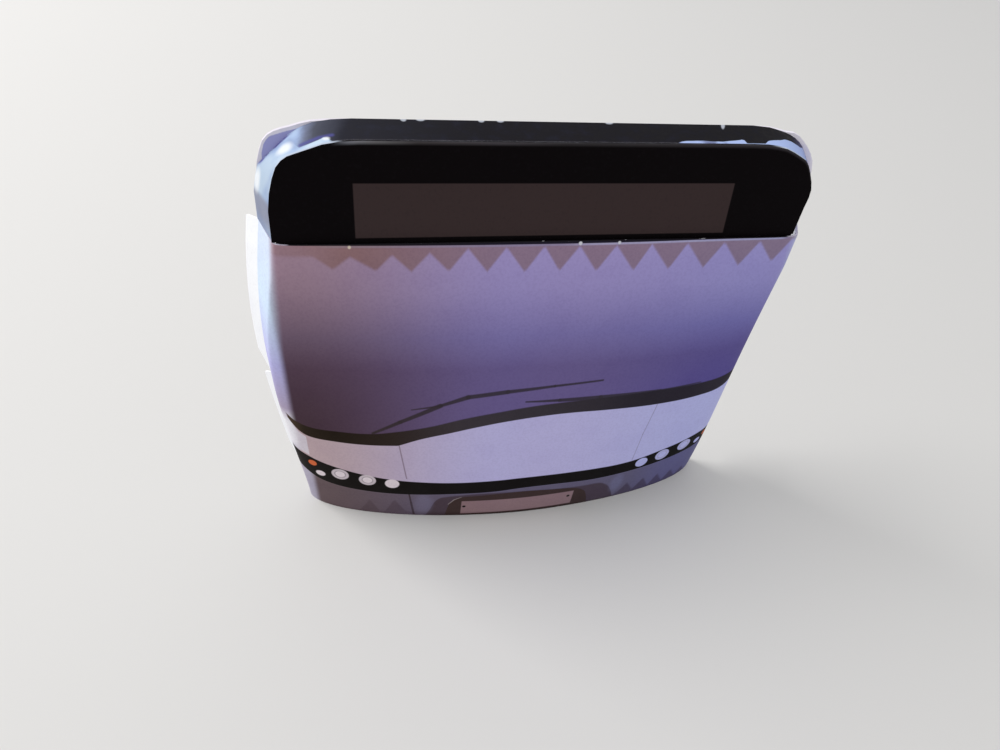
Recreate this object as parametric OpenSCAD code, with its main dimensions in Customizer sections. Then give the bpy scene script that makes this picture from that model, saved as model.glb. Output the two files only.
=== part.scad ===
// Front end of a folded card model of an airport bus, in millimetres.
// X runs across the front, +Y runs back from the bumper, +Z is up.
// The origin is on the floor, at the middle of the floor plate.

/* [Card] */
// Thickness of the printed card
card_t = 0.3; // [0.2:0.05:0.4]
// Glue and air between two glued faces
glue_gap = 0.15; // [0.12:0.01:0.25]

/* [Front sheet] */
// Width of the front at the floor
floor_w = 59; // [52:1:66]
// Width of the front at its top edge
top_w = 58.5; // [52:0.5:66]
// Height of the top edge, where the header begins
seam_z = 43.4; // [38:0.1:50]
// Distance that the bumper bows forward of its corners
bow_depth = 6.3; // [5:0.1:8]
// Squareness of the bow at the floor, where 2 is an ellipse
bow_power = 1.83; // [1.7:0.01:2.4]
// Depth of the rolled corners at the top edge
corner_depth = 2; // [1.5:0.25:3]
// Squareness of the top edge
corner_power = 14; // [12:1:18]
// Lean of the windscreen's top zone, in degrees
lean = 19.5; // [14:0.5:22]
// How late the sheet starts to lean, where 1 is a straight slope
curl = 1.5; // [1.4:0.01:2]
// Angle that the free ends splay outward at the top edge, in degrees
splay = 22; // [0:1:30]
// Distance that the left side springs out on its way up
left_bulge = 1.6; // [0:0.1:2.5]
// Distance that the right side is pressed in on its way up
right_dent = 1.3; // [0:0.1:2.5]
// How high the bulge and the dent sit, where 1 is half height
bulge_rise = 1.4; // [1:0.1:2]
// Length of the side behind each corner at the floor
side_low = 0.3; // [0.3:0.1:4]
// Length of the side behind each corner at the top edge
side_high = 2.1; // [1:0.1:4]

/* [Side tabs] */
// Width of a glue tab, from its fold to its edge
tab_w = 2.8; // [2.2:0.1:4]
// Angle that the tabs stand out from straight back, in degrees
tab_flare = 28; // [5:1:35]
// Height of the lower tab's bottom corner at its fold
lower_tab_z = 6.5; // [4:0.5:10]
// Height where the lower tab ends and the upper one begins
tab_split_z = 24.3; // [20:0.1:28]
// Height that the upper tab's ends are clipped off at its edge
upper_clip = 1.1; // [0.5:0.1:4]
// Height that the lower tab's ends are clipped off at its edge
lower_clip = 2.4; // [0.5:0.1:4]

/* [Header] */
// How much wider the front panel is than the top edge of the front sheet
header_over = 0.5; // [-1:0.25:2]
// Height of the header along its leaning face
header_h = 10.1; // [8:0.1:13]
// Depth of the header from front face to back face, measured level
header_depth = 4; // [3:0.1:6]
// Distance that the header's sides spread outward from front to back
header_spread = 1.4; // [0:0.1:2]
// Glue and air between the windscreen and the header's teeth
header_gap = 0.3; // [0.3:0.02:0.5]
// Width of the front panel's cut corners
corner_w = 8; // [4:0.5:9]
// Height of the front panel's cut corners
corner_h = 6; // [4:0.5:7]
// Straight cuts that make each scissored corner
corner_cuts = 4; // [2:1:6]
// Fullness of the front panel's corners: 2 is a quarter of an ellipse, more is squarer
corner_fullness = 2.3; // [2:0.1:3]
// Distance that the strip's rear left corner is pressed in
corner_press = 1.4; // [0:0.2:2]
// Distance that the header's right side is cut in at its foot
foot_cut = 0.7; // [0:0.1:1]
// Width of the back plate's cut corners
back_corner_w = 7; // [2.5:0.5:8]
// Height of the back plate's cut corners
back_corner_h = 5.5; // [2.5:0.5:6]
// Distance that the back plate stands out past the strip's sides
back_lip = 0.2; // [0.2:0.1:0.8]
// Distance that the back plate sits to the right
back_shift = 0.4; // [0:0.1:0.4]
// Distance from the strip's ridge down to the back plate's upper edge
back_drop = 0.15; // [0:0.05:0.15]
// Height of the back plate's lower edge above the seam, which clears the tops of the sides
back_foot = 0.9; // [0.8:0.1:1.5]
// Distance from one header tooth to the next
header_pitch = 4.2; // [3.5:0.05:6]
// Height of a header tooth
header_tooth_h = 3.3; // [2.5:0.1:4]
// Height of the uncut card from which the header teeth hang
header_root = 0.8; // [0.4:0.1:1.2]
// Distance from the uncut card's ends to the sides of the panel
header_root_room = 1.2; // [1.2:0.1:3]
// Distance that the row of header teeth sits to the right
header_teeth_shift = 1.5; // [0:0.1:3]
// Room between the row of header teeth and the side of the sheet
header_teeth_room = 0.35; // [0.35:0.05:1]

/* [Floor plate] */
// Depth of the floor plate, from the bumper's outer face to its rear edge
floor_depth = 12; // [10:0.5:16]
// Height of the floor plate's flap and teeth
floor_tooth_h = 2.8; // [2:0.1:3.2]
// Half angle that the straight middle flap takes up, in degrees
flap_angle = 25; // [15:1:40]
// Angle from one floor tooth to the next, in degrees
floor_tooth_step = 8; // [5:0.5:12]
// Angle that stays free between the last floor tooth and the side, in degrees
floor_teeth_room = 6; // [5:1:15]

/* [Hidden] */
eps = 0.01;
tip_w = 0.25;
// Stations run from -90 to 90 degrees across the bow, then on along each side to side_end
corner_end = 90;
side_end = 100;
station_step = 5;
stations = concat([-side_end], [for (s = [-corner_end:station_step:corner_end]) s], [side_end]);
// The top zone of the sheet is flat, so that the header's teeth seat against it
flat_z = seam_z - header_tooth_h - 2 * glue_gap;
rows = 10;
levels = concat([for (i = [0:rows]) flat_z * i / rows], [seam_z]);
// Depths behind the sheet's outer face, measured level: the panel, the strip and the back plate
panel_y = card_t + header_gap;
strip_y = panel_y + card_t;
back_y = panel_y + header_depth - card_t;
plate_depth = card_t + glue_gap;
// Width of the header's front panel, and its height straight up
header_w = top_w + header_over;
rise_h = header_h * cos(lean);
// As many teeth as there is room for
header_row = 2 * (min(header_w, top_w) / 2 - header_teeth_room - header_teeth_shift);
header_teeth = floor(header_row / header_pitch);
floor_teeth = floor((corner_end - floor_teeth_room - flap_angle) / floor_tooth_step);

// Share of the way from the bowed floor line (0) to the straight top line (1)
function rise(z) = z < flat_z ? pow(z / flat_z, curl) : 1;
// Place of the middle of the sheet at height z: it starts at the floor plate's front and leans back
function setback(z) =
    tan(lean) * (z < flat_z ? flat_z / curl * rise(z) : flat_z / curl + z - flat_z) - floor_depth / 2;
// How far the paper springs out on the left side (side = -1) or is pressed in on the right
function spring(side, z) =
    (side < 0 ? left_bulge : -right_dent) * sin(180 * pow(z / seam_z, bulge_rise));
// Reach of the sheet from the middle to its side
function reach(side, z) = floor_w / 2 * (1 - rise(z)) + top_w / 2 * rise(z) + spring(side, z);
// Depth of a superellipse at share t of its half width
function bow(t, depth, power) = depth * (1 - pow(1 - pow(t, power), 1 / power));

// Outer face of the sheet at a station s and a height z
function rim(s, z) =
    let (t = sin(min(abs(s), corner_end)),
         side_len = side_low * (1 - rise(z)) + side_high * rise(z),
         back = bow(t, bow_depth, bow_power) * (1 - rise(z)) + bow(t, corner_depth, corner_power) * rise(z)
             + side_len * max(abs(s) - corner_end, 0) / (side_end - corner_end),
         out = tan(splay) * rise(z) * back)
    [sign(s) * (t * reach(s, z) + out), setback(z) + back];
function unit(v) = v / norm(v);
// Direction along the sheet at a station, and the direction into the bus
function along(s, z) = unit(rim(s + 1, z) - rim(s - 1, z));
function inward(s, z) = [-along(s, z)[1], along(s, z)[0]];
// A point of the sheet at a depth below its printed face
function in_sheet(s, z, depth) = let (p = rim(s, z) + depth * inward(s, z)) [p[0], p[1], z];

function quad(a, b, c, d) = [[a, b, c], [a, c, d]];

// A thin solid between two grids of points, whose rows run upward and columns to the right
module card_solid(front, back) {
    n = len(front[0]);
    m = len(front);
    half = n * m;
    points = concat([for (row = front) each row], [for (row = back) each row]);
    faces = [
        for (r = [0:m - 2], c = [0:n - 2]) let (a = r * n + c)
            each concat(quad(a, a + n, a + n + 1, a + 1),
                        quad(half + a, half + a + 1, half + a + n + 1, half + a + n)),
        for (c = [0:n - 2]) let (top = (m - 1) * n + c)
            each concat(quad(c, c + 1, half + c + 1, half + c),
                        quad(top + 1, top, half + top, half + top + 1)),
        for (r = [0:m - 2]) let (left = r * n, right = r * n + n - 1)
            each concat(quad(left + n, left, half + left, half + left + n),
                        quad(right, right + n, half + right + n, half + right))
    ];
    polyhedron(points, faces);
}

module front_sheet() {
    color([0.72, 0.68, 0.84])
        card_solid([for (z = levels) [for (s = stations) in_sheet(s, z, 0)]],
                   [for (z = levels) [for (s = stations) in_sheet(s, z, card_t)]]);
}

// Tab of the left side (side = -1) or the right: it meets the side's end face and flares out from it
module tab(side, low, high, clip) {
    way = [side * sin(tab_flare), cos(tab_flare)];
    face = [-side * cos(tab_flare), sin(tab_flare)];
    tab_rows = 6;
    shares = [for (i = [0:tab_rows]) i / tab_rows];
    function fold(k, depth) = in_sheet(side * side_end, low + (high - low) * k, depth);
    function edge(k, depth) =
        let (z = low + clip + (high - low - 2 * clip) * k,
             p = rim(side * side_end, z) + tab_w * way + depth * face)
        [p[0], p[1], z];
    function row(k, depth) = side < 0 ? [edge(k, depth), fold(k, depth)] : [fold(k, depth), edge(k, depth)];
    color([0.93, 0.93, 0.97])
        card_solid([for (k = shares) row(k, 0)], [for (k = shares) row(k, card_t)]);
}

module upper_tab(side) {
    tab(side, tab_split_z + glue_gap, seam_z, upper_clip);
}

module lower_tab(side) {
    tab(side, lower_tab_z, tab_split_z - glue_gap, lower_clip);
}

module tab_upper_left() {
    upper_tab(-1);
}

module tab_lower_left() {
    lower_tab(-1);
}

module tab_upper_right() {
    upper_tab(1);
}

module tab_lower_right() {
    lower_tab(1);
}

// Right upper corner of a header board, a wide and b high, made by straight cuts
function header_corner(w, h, a, b, full, inset) =
    [for (i = [0:corner_cuts]) let (u = 90 * i / corner_cuts)
        [w / 2 - a + (a - inset) * pow(sin(u), 2 / full), h - b + (b - inset) * pow(cos(u), 2 / full)]];

// Outline of a header board, from its lower left corner round to its lower right one.
// The left upper corner may be pressed in, which makes it larger and rounder, and the lower
// right corner may be cut in.
function header_outline(w, h, a, b, full, press = 0, inset = 0, cut = 0) =
    let (right = header_corner(w, h, a, b, full, inset),
         other = header_corner(w, h, a + press, b + press, press > 0 ? 2 : full, inset),
         left = [for (i = [corner_cuts:-1:0]) [-other[i][0], other[i][1]]])
    concat([[-w / 2 + inset, 0]], left, right, [[w / 2 - inset - cut, 0]]);

// Keeps what lies between two depths behind the sheet's leaning face, measured level
module between(near, far) {
    low = flat_z - header_tooth_h;
    high = seam_z + 2 * header_h;
    function at(z) = setback(flat_z) + tan(lean) * (z - flat_z);
    intersection() {
        children();
        rotate([90, 0, 90])
            linear_extrude(2 * header_w, center = true)
                polygon([[at(low) + near, low], [at(low) + far, low],
                         [at(high) + far, high], [at(high) + near, high]]);
    }
}

// Stands a flat outline up at the seam, thick enough to be cut by between()
module stand_up() {
    back = setback(seam_z) + header_h + 2 * header_depth;
    front = setback(flat_z - header_tooth_h);
    translate([0, back, seam_z])
        rotate([90, 0, 0])
            linear_extrude(back - front)
                children();
}

module header_front() {
    first = header_teeth_shift - header_pitch * (header_teeth - 1) / 2;
    root_x = min(header_w, top_w) / 2 - header_root_room;
    color([0.06, 0.05, 0.06])
        between(panel_y, panel_y + card_t)
            stand_up()
                union() {
                    polygon(header_outline(header_w, rise_h, corner_w, corner_h, corner_fullness,
                                           cut = foot_cut));
                    polygon([[-root_x, eps], [root_x, eps], [root_x, -header_root], [-root_x, -header_root]]);
                    for (i = [0:header_teeth - 1])
                        translate([first + header_pitch * i, 0])
                            polygon([[-header_pitch / 2 + tip_w / 2, eps],
                                     [header_pitch / 2 - tip_w / 2, eps],
                                     [tip_w / 2, -header_tooth_h],
                                     [-tip_w / 2, -header_tooth_h]]);
                }
}

// The strip is folded over the panel's cut outline, and its sides spread toward the back plate
module header_strip() {
    function at(p, depth) = [p[0], setback(seam_z + p[1]) + depth, seam_z + p[1]];
    function edge(w, depth, press, inset) =
        [for (p = header_outline(w, rise_h, corner_w, corner_h, corner_fullness, press, inset, foot_cut))
            at(p, depth)];
    function skin(inset) =
        [edge(header_w, strip_y, 0, inset),
         edge(header_w + 2 * header_spread, back_y, corner_press, inset)];
    color([0.10, 0.10, 0.13])
        card_solid(skin(0), skin(card_t));
}

module header_back() {
    w = header_w + 2 * (header_spread + back_lip);
    color([0.88, 0.88, 0.93])
        between(back_y, back_y + card_t)
            stand_up()
                translate([back_shift, back_foot])
                    polygon(header_outline(w, rise_h - back_foot - back_drop,
                                           back_corner_w, back_corner_h, 2));
}

// Strip of the floor, a card thick, that runs just behind the sheet's inner face
function behind_sheet(from, to, depth) =
    [for (i = [0:12]) let (p = in_sheet(from + (to - from) * i / 12, 0, depth)) [p[0], p[1]]];

module floor_tooth(s) {
    base = in_sheet(s, 0, plate_depth);
    w = norm(in_sheet(s + floor_tooth_step / 2, 0, plate_depth)
             - in_sheet(s - floor_tooth_step / 2, 0, plate_depth));
    dir = along(s, 0);
    translate([base[0], base[1], 0])
        rotate([90, 0, atan2(dir[1], dir[0])])
            translate([0, 0, -card_t])
                linear_extrude(card_t)
                    polygon([[-w / 2 + tip_w / 2, 0],
                             [w / 2 - tip_w / 2, 0],
                             [tip_w / 2, floor_tooth_h],
                             [-tip_w / 2, floor_tooth_h]]);
}

module floor_plate() {
    side_x = floor_w / 2 - plate_depth;
    last = corner_end - station_step;
    front = behind_stations(-last, last);
    edge = concat([[-side_x, floor_depth / 2]], front, [[side_x, floor_depth / 2]]);
    flap = concat(behind_sheet(-flap_angle, flap_angle, plate_depth),
                  behind_sheet(flap_angle, -flap_angle, plate_depth + card_t));
    color([0.80, 0.80, 0.85]) {
        linear_extrude(card_t)
            polygon(edge);
        linear_extrude(floor_tooth_h)
            polygon(flap);
        for (side = [-1, 1], i = [0:floor_teeth - 1])
            floor_tooth(side * (flap_angle + floor_tooth_step * (i + 0.5)));
    }
}

// The floor plate's front edge, station by station
function behind_stations(from, to) =
    [for (s = [from:station_step:to]) let (p = in_sheet(s, 0, plate_depth)) [p[0], p[1]]];

front_sheet();
tab_upper_left();
tab_lower_left();
tab_upper_right();
tab_lower_right();
header_front();
header_strip();
header_back();
floor_plate();
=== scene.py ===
# %% [markdown]
# # The front end of a folded card model of a bus
#
# The real object is a few pieces of thin printed card, cut with scissors, folded and glued:
# one bowed sheet with the windscreen and bumper printed on it, white glue tabs down its sides,
# a black header box on top, and a small toothed floor plate behind the skirt.
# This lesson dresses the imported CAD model. First the model and the camera, then the floor and
# the light, then the inks and the papers, and then the pieces that card needs in finer form.

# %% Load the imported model
import math

import bpy
from mathutils import Matrix, Vector


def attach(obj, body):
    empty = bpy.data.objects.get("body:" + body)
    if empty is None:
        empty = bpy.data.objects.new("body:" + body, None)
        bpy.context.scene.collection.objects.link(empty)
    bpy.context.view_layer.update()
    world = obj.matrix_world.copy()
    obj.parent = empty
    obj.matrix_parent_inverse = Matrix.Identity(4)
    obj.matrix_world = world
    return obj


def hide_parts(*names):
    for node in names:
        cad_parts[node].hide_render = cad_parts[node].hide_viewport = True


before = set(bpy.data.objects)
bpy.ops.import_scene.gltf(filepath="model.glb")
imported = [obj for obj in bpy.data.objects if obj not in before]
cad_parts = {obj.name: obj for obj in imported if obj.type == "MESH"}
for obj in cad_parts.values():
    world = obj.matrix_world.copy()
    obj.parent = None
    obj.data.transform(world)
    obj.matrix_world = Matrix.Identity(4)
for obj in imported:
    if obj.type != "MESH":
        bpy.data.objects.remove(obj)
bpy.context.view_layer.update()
print("nodes:", sorted(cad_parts))

# %% [markdown]
# ## Camera
#
# The angles, the place and the lens come from a least-squares fit to points read off the photo:
# the header's outline, the lamps, the plate, the lower edge and both side outlines. Other lenses
# fit nearly as well, so this is one good answer and not the only one. The camera is near the card
# and looks steeply down, so the top of the card looks much bigger than its foot.

# %% Camera helper: a turn from pitch, yaw and roll
MM = 0.001
SENSOR_MM, LENS_MM = 36, 25.044
CAMERA_PLACE = Vector((-21.483, -49.75, 93.154))
PITCH, YAW, ROLL = 51.941, 18.562, 11.622


def camera_turn(pitch, yaw, roll):
    sp, cp, sy, cy = math.sin(pitch), math.cos(pitch), math.sin(yaw), math.cos(yaw)
    ahead = Vector((sy * cp, cy * cp, -sp))
    right = Vector((cy, -sy, 0))
    up = right.cross(ahead)
    right_rolled = right * math.cos(roll) + up * math.sin(roll)
    up_rolled = up * math.cos(roll) - right * math.sin(roll)
    return Matrix((right_rolled, up_rolled, -ahead)).transposed().to_4x4()


# %% Camera
camera_data = bpy.data.cameras.new("camera")
camera_data.sensor_width = SENSOR_MM
camera_data.lens = LENS_MM
camera_data.clip_start = 5 * MM
camera = bpy.data.objects.new("camera", camera_data)
bpy.context.scene.collection.objects.link(camera)
turn = camera_turn(math.radians(PITCH), math.radians(YAW), math.radians(ROLL))
camera.matrix_world = Matrix.Translation(CAMERA_PLACE * MM) @ turn
bpy.context.scene.camera = camera
print("camera at", [round(c, 4) for c in camera.location], "lens", camera_data.lens)

# %% [markdown]
# ## Floor and light
#
# The card stands on a plain pale floor. In the photo the light comes from one side and from
# behind, which leaves the printed face in soft shade and makes the white tabs glow. One big lamp
# to the left, above and behind the card does that, and an even pale world fills the rest.
# View transform Standard keeps each colour close to how it is written.

# %% Floor
FLOOR_SPAN, FLOOR_TONE, FLOOR_ROUGH = 4, (0.70, 0.69, 0.675, 1), 0.9


def quiet(obj=None):
    """Deselects everything, and makes one object the active one if it is given."""
    for other in list(bpy.context.selected_objects):
        other.select_set(False)
    if obj is not None:
        obj.select_set(True)
        bpy.context.view_layer.objects.active = obj


quiet()
bpy.ops.mesh.primitive_plane_add(size=FLOOR_SPAN, location=(0, 0, 0))
floor = bpy.context.object
floor.name = "floor"
floor_paint = bpy.data.materials.new("floor_paint")
floor_paint.use_nodes = True
floor_shader = floor_paint.node_tree.nodes["Principled BSDF"]
floor_shader.inputs["Base Color"].default_value = FLOOR_TONE
floor_shader.inputs["Roughness"].default_value = FLOOR_ROUGH
floor.data.materials.append(floor_paint)
print("floor:", FLOOR_SPAN, "m across")

# %% Light
SKY_TONE, SKY_STRENGTH = (0.97, 0.98, 1.0, 1), 0.68
WINDOW_PLACE, WINDOW_AIM = Vector((-0.42, 0.22, 0.42)), Vector((0, 0, 0.02))
WINDOW_SPAN, WINDOW_WATTS, WINDOW_TONE = 0.30, 2.5, (1.0, 0.99, 0.97)

bpy.context.scene.view_settings.view_transform = "Standard"
world = bpy.data.worlds.new("room")
world.use_nodes = True
sky = world.node_tree.nodes["Background"]
sky.inputs["Color"].default_value = SKY_TONE
sky.inputs["Strength"].default_value = SKY_STRENGTH
bpy.context.scene.world = world

window_data = bpy.data.lights.new("window", "AREA")
window_data.shape = "SQUARE"
window_data.size = WINDOW_SPAN
window_data.energy = WINDOW_WATTS
window_data.color = WINDOW_TONE
window = bpy.data.objects.new("window", window_data)
bpy.context.scene.collection.objects.link(window)
aim = (WINDOW_AIM - WINDOW_PLACE).to_track_quat("-Z", "Y")
window.matrix_world = Matrix.Translation(WINDOW_PLACE) @ aim.to_matrix().to_4x4()

# %% [markdown]
# ## A pen for node maths
#
# The print on the card is drawn with nodes, so it stays sharp from near by and needs no picture.
# Lines, edges and rings are all sums on two numbers: how far across the card (u) and how far up
# (z), both in millimetres. A small class lets these sums be written like ordinary arithmetic,
# and adds one node for each step.


# %% The pen
class Ink:
    """A number that travels through a material's nodes."""

    def __init__(self, tree, socket):
        self.tree, self.socket = tree, socket

    def _op(self, kind, *others, clamp=False):
        node = self.tree.nodes.new("ShaderNodeMath")
        node.operation = kind
        node.use_clamp = clamp
        for slot, value in zip(node.inputs, (self,) + others):
            if isinstance(value, Ink):
                self.tree.links.new(value.socket, slot)
            else:
                slot.default_value = value
        return Ink(self.tree, node.outputs[0])

    def __add__(self, other):
        return self._op("ADD", other)

    def __sub__(self, other):
        return self._op("SUBTRACT", other)

    def __mul__(self, other):
        return self._op("MULTIPLY", other)

    def __abs__(self):
        return self._op("ABSOLUTE")

    def most(self, other):
        return self._op("MAXIMUM", other)

    def least(self, other):
        return self._op("MINIMUM", other)

    def root(self):
        return self._op("SQRT")

    def clamped(self):
        """The number, kept between 0 and 1."""
        return self._op("ADD", 0.0, clamp=True)

    def inverse(self):
        """1 where the number is 0, and 0 where it is 1."""
        return self._op("MULTIPLY_ADD", -1.0, 1.0)

    def above(self, edge, soft):
        """0 below the edge and 1 above it, with a soft step between."""
        return self.spread(edge - soft / 2, edge + soft / 2)

    def below(self, edge, soft):
        """1 below the edge and 0 above it, with a soft step between."""
        return self.spread(edge - soft / 2, edge + soft / 2, 1.0, 0.0)

    def spread(self, low, high, first=0.0, last=1.0, smooth=True):
        """Runs from `first` at low to `last` at high, and stays level outside."""
        node = self.tree.nodes.new("ShaderNodeMapRange")
        node.interpolation_type = "SMOOTHSTEP" if smooth else "LINEAR"
        self.tree.links.new(self.socket, node.inputs["Value"])
        node.inputs["From Min"].default_value = low
        node.inputs["From Max"].default_value = high
        node.inputs["To Min"].default_value = first
        node.inputs["To Max"].default_value = last
        return Ink(self.tree, node.outputs["Result"])


# %% Shapes drawn with the pen
def far_from(u, z, place):
    """Distance to a point."""
    du, dz = u - place[0], z - place[1]
    return (du * du + dz * dz).root()


def oval(u, z, place, wide, high):
    """Distance to a point, counted in half-axes of an ellipse: 1 on its edge."""
    return far_from(u * (1 / wide), z * (1 / high), (place[0] / wide, place[1] / high))


def stroke(u, z, start, end, wide_start, wide_end, soft):
    """A straight pen stroke, whose width may change from one end to the other."""
    (ax, az), (bx, bz) = start, end
    length2 = (bx - ax) ** 2 + (bz - az) ** 2
    along = ((u - ax) * ((bx - ax) / length2) + (z - az) * ((bz - az) / length2)).clamped()
    du = u - (along * (bx - ax) + ax)
    dz = z - (along * (bz - az) + az)
    reach = along * ((wide_end - wide_start) / 2) + wide_start / 2
    return ((du * du + dz * dz).root() - reach).below(0.0, soft)


def drawn_edge(u, points, across, up, joint="AUTO"):
    """The height of a drawn edge at u, through a few points (u, z) or (u, z, joint).

    The joint AUTO rounds the curve at a point, and VECTOR makes it straight on both sides.
    """
    node = u.tree.nodes.new("ShaderNodeFloatCurve")
    curve = node.mapping.curves[0]
    wide, high = across[1] - across[0], up[1] - up[0]
    while len(curve.points) < len(points):
        curve.points.new(0.5, 0.5)
    for knot, point in zip(curve.points, points):
        knot.location = ((point[0] - across[0]) / wide, (point[1] - up[0]) / high)
        knot.handle_type = point[2] if len(point) > 2 else joint
    node.mapping.update()
    share = (u - across[0]) * (1 / wide)
    u.tree.links.new(share.socket, node.inputs["Value"])
    return Ink(u.tree, node.outputs[0]) * high + up[0]


# %% A material for card
# A UV map holds (across + UV_LEFT) / span and up / UV_HIGH, with both in millimetres.
UV_LEFT, UV_HIGH = 50, 100


class Paper:
    """A material with the nodes that every card needs: a base, layers of ink, and a skin."""

    def __init__(self, name):
        self.material = bpy.data.materials.new(name)
        self.material.use_nodes = True
        self.tree = self.material.node_tree
        self.shader = self.tree.nodes["Principled BSDF"]
        self.places = self.tree.nodes.new("ShaderNodeTexCoord")
        self.colour = None

    def split(self, output):
        """The three numbers of a texture coordinate."""
        node = self.tree.nodes.new("ShaderNodeSeparateXYZ")
        self.tree.links.new(self.places.outputs[output], node.inputs[0])
        return [Ink(self.tree, out) for out in node.outputs]

    def uv_mm(self, span):
        """Millimetres across and up on the flat card, from a UV map that is `span` wide."""
        across, up, _ = self.split("UV")
        return across * span - UV_LEFT, up * UV_HIGH

    def object_mm(self):
        """The point's own place: x, y and height in millimetres."""
        return [part * (1 / MM) for part in self.split("Object")]

    def noise(self, scale, detail=2.0, rough=0.6, stretch=None):
        """Noise in object space: about `scale` patches to a metre."""
        node = self.tree.nodes.new("ShaderNodeTexNoise")
        node.inputs["Scale"].default_value = scale
        node.inputs["Detail"].default_value = detail
        node.inputs["Roughness"].default_value = rough
        source = self.places.outputs["Object"]
        if stretch:
            mapping = self.tree.nodes.new("ShaderNodeMapping")
            mapping.inputs["Scale"].default_value = stretch
            self.tree.links.new(source, mapping.inputs["Vector"])
            source = mapping.outputs[0]
        self.tree.links.new(source, node.inputs["Vector"])
        return Ink(self.tree, node.outputs[0])

    def start(self, colour):
        node = self.tree.nodes.new("ShaderNodeRGB")
        node.outputs[0].default_value = (*colour, 1)
        self.colour = node.outputs[0]

    def ramp(self, value, stops):
        """A colour that depends on a number, through a list of (place, colour)."""
        node = self.tree.nodes.new("ShaderNodeValToRGB")
        ramp = node.color_ramp
        while len(ramp.elements) < len(stops):
            ramp.elements.new(0.5)
        for element, (place, colour) in zip(ramp.elements, stops):
            element.position = place
            element.color = (*colour, 1)
        self.tree.links.new(value.socket, node.inputs[0])
        return node.outputs[0]

    def lay(self, mask, colour, kind="MIX"):
        """Lays a colour, or another socket's colour, over what is there."""
        node = self.tree.nodes.new("ShaderNodeMix")
        node.data_type = "RGBA"
        node.blend_type = kind
        self.tree.links.new(mask.socket, node.inputs[0])
        self.tree.links.new(self.colour, node.inputs[6])
        if isinstance(colour, bpy.types.NodeSocket):
            self.tree.links.new(colour, node.inputs[7])
        else:
            node.inputs[7].default_value = (*colour, 1)
        self.colour = node.outputs[2]

    def finish(self, rough, bump, lift, strength, shine):
        """Joins the colour and a bump, whose lift is in millimetres, to the shader."""
        self.shader.inputs["Specular IOR Level"].default_value = shine
        self.tree.links.new(self.colour, self.shader.inputs["Base Color"])
        if isinstance(rough, Ink):
            self.tree.links.new(rough.socket, self.shader.inputs["Roughness"])
        else:
            self.shader.inputs["Roughness"].default_value = rough
        node = self.tree.nodes.new("ShaderNodeBump")
        node.inputs["Strength"].default_value = strength
        node.inputs["Distance"].default_value = lift * MM
        self.tree.links.new(bump.socket, node.inputs["Height"])
        self.tree.links.new(node.outputs[0], self.shader.inputs["Normal"])
        return self.material


# %% [markdown]
# ## White card
#
# The glue tabs and the floor plate are bare card. White card isn't flat white: fibres give it a
# faint mottling and a fine tooth, and fingers leave greyer patches.

# %% White card
FIBRES, FIBRE_GREY = 2600, (0.45, 0.42, 0.45)
TABS = ("tab_upper_left", "tab_lower_left", "tab_upper_right", "tab_lower_right")


def white_card(name, tone, shade):
    card = Paper(name)
    card.start(tone)
    cloud = card.noise(180, 3.0)
    card.lay(cloud.spread(0.45, 0.75, 0.0, 0.5), shade)
    fibres = card.noise(FIBRES)
    card.lay(fibres.spread(0.5, 0.8, 0.0, 0.12), FIBRE_GREY)
    rough = cloud.spread(0.3, 0.7, 0.62, 0.78)
    return card.finish(rough, fibres, lift=0.03, strength=0.35, shine=0.3)


tab_card = white_card("tab_card", (0.90, 0.91, 0.94), (0.84, 0.85, 0.91))
floor_card = white_card("floor_card", (0.78, 0.77, 0.82), (0.70, 0.69, 0.76))
dressed = {**dict.fromkeys(TABS, tab_card), "floor_plate": floor_card}
for name, card in dressed.items():
    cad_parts[name].data.materials.clear()
    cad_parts[name].data.materials.append(card)
print("white card on:", list(dressed))

# %% [markdown]
# ## The shape of the bowed sheet
#
# At the floor line the sheet follows a flat ellipse, and at the seam it is straight with small
# round corners. The same few formulas that make the solid are repeated here, so that the finer
# sheet lies on it. A station s counts in degrees round the bow, from -90 at the left corner to
# 90 at the right, and on to 100 either way at the end of the short side.

# %% Sizes of the sheet, in millimetres
CARD, GLUE_GAP, TOOTH_TALL = 0.3, 0.15, 3.3
FLOOR_W, TOP_W, SEAM_Z = 59, 58.5, 43.4
BOW_DEPTH, BOW_POWER, CORNER_DEPTH, CORNER_POWER = 6.3, 1.83, 2, 14
LEAN, CURL, SPLAY = math.radians(19.5), 1.5, math.radians(22)
LEFT_BULGE, RIGHT_DENT, BULGE_RISE = 1.6, 1.3, 1.4
SIDE_LOW, SIDE_HIGH, FLOOR_DEPTH = 0.3, 2.1, 12
FLAT_Z = SEAM_Z - TOOTH_TALL - 2 * GLUE_GAP
CORNER, SIDE_END = 90, 100


def rise(z):
    """How far the shape has gone from the floor's line to the seam's, from 0 to 1."""
    return (max(z, 0) / FLAT_Z) ** CURL if z < FLAT_Z else 1


def setback(z):
    """How far back the middle of the face lies at this height."""
    start = FLAT_Z / CURL
    back = start * rise(z) if z < FLAT_Z else start + z - FLAT_Z
    return math.tan(LEAN) * back - FLOOR_DEPTH / 2


def reach(side, z):
    """Half the width at this height, with the left bulge or the right dent."""
    bulge = LEFT_BULGE if side < 0 else -RIGHT_DENT
    spring = bulge * math.sin(math.pi * (z / SEAM_Z) ** BULGE_RISE)
    return FLOOR_W / 2 * (1 - rise(z)) + TOP_W / 2 * rise(z) + spring


def bow(t, depth, power):
    """Depth of a rounded line at t, which is 0 in the middle and 1 at the corner."""
    return depth * (1 - (1 - t ** power) ** (1 / power))


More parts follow.
